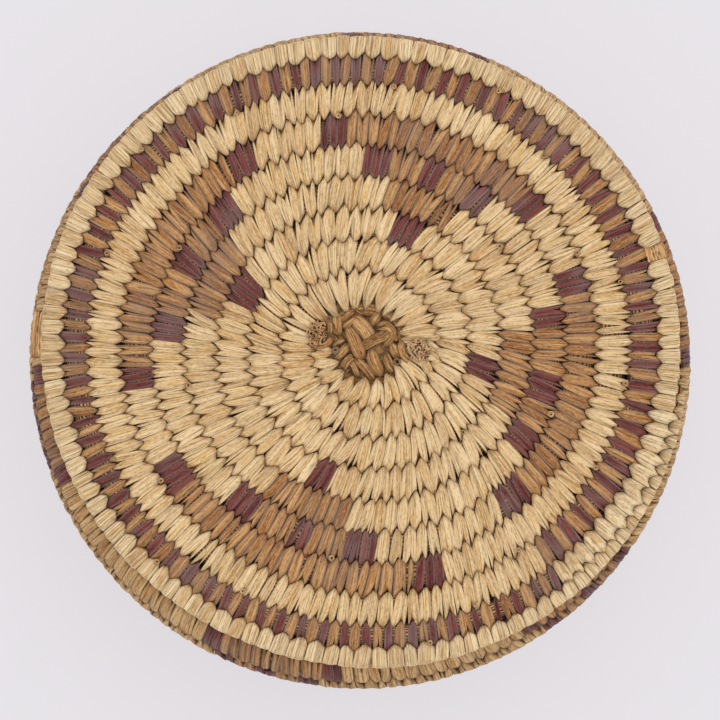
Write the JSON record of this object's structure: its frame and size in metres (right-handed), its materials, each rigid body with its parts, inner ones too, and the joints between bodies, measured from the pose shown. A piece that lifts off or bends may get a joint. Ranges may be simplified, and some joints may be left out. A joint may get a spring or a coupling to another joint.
{
  "type": "lidded basket",
  "caption": "Round coiled straw basket with a flat lift-off lid, stepped tan and dark red pattern, plaited start knot and a locating coil under the lid.",
  "frame": {"origin": "on the ground under the middle of the basket's round shape", "axes": "+Z up, out of the basket's mouth; +X right and +Y up as the pattern on the lid is seen from above"},
  "size_m": [0.2252, 0.2239, 0.1062],
  "materials": {
    "straw": "satin",
    "tan_strip": "satin",
    "dark_red_strip": "satin",
    "knot_strip": "satin",
    "splint": "matte"
  },
  "bodies": {
    "basket": {"base_coil": "straw", "wall_coil": "straw", "shoulder_coil": "straw", "band_tan_stitches_1": "tan_strip", "band_tan_stitches_2": "tan_strip", "band_tan_stitches_3": "tan_strip", "band_tan_stitches_4": "tan_strip", "band_tan_stitches_5": "tan_strip", "band_tan_stitches_6": "tan_strip", "band_red_bars_1": "dark_red_strip", "band_red_bars_2": "dark_red_strip", "band_red_bars_3": "dark_red_strip", "band_red_bars_4": "dark_red_strip", "band_red_bars_5": "dark_red_strip", "band_red_bars_6": "dark_red_strip", "base_knot_strip_along_1": "knot_strip", "base_knot_strip_along_2": "knot_strip", "base_knot_strip_along_3": "knot_strip", "base_knot_strip_across_1": "knot_strip", "base_knot_strip_across_2": "knot_strip", "base_knot_strip_across_3": "knot_strip"},
    "lid": {"lid_coil": "straw", "lid_rim_stitches_start": "straw", "lid_rim_stitches": "straw", "lid_border_stitches": "tan_strip", "lid_tan_stitches_1": "tan_strip", "lid_tan_stitches_2": "tan_strip", "lid_tan_stitches_3": "tan_strip", "lid_tan_stitches_4": "tan_strip", "lid_red_side_bars_1": "dark_red_strip", "lid_red_side_bars_2": "dark_red_strip", "lid_red_side_bars_3": "dark_red_strip", "lid_red_side_bars_4": "dark_red_strip", "lid_red_middle_bars_1": "dark_red_strip", "lid_red_middle_bars_2": "dark_red_strip", "lid_red_middle_bars_3": "dark_red_strip", "lid_red_middle_bars_4": "dark_red_strip", "lid_red_tip_1": "dark_red_strip", "lid_red_tip_2": "dark_red_strip", "lid_red_tip_3": "dark_red_strip", "lid_red_tip_4": "dark_red_strip", "lid_knot_strip_along_1": "knot_strip", "lid_knot_strip_along_2": "knot_strip", "lid_knot_strip_along_3": "knot_strip", "lid_knot_strip_across_1": "knot_strip", "lid_knot_strip_across_2": "knot_strip", "lid_knot_strip_across_3": "knot_strip", "lid_bundle_end_left": "splint", "lid_bundle_end_right": "splint", "lid_locating_ring": "straw"}
  },
  "joints": [
    {"name": "lid_lift", "type": "slide", "parent": "basket", "child": "lid", "axis": [0, 0, 1], "range_m": [0, 0.12]}
  ]
}
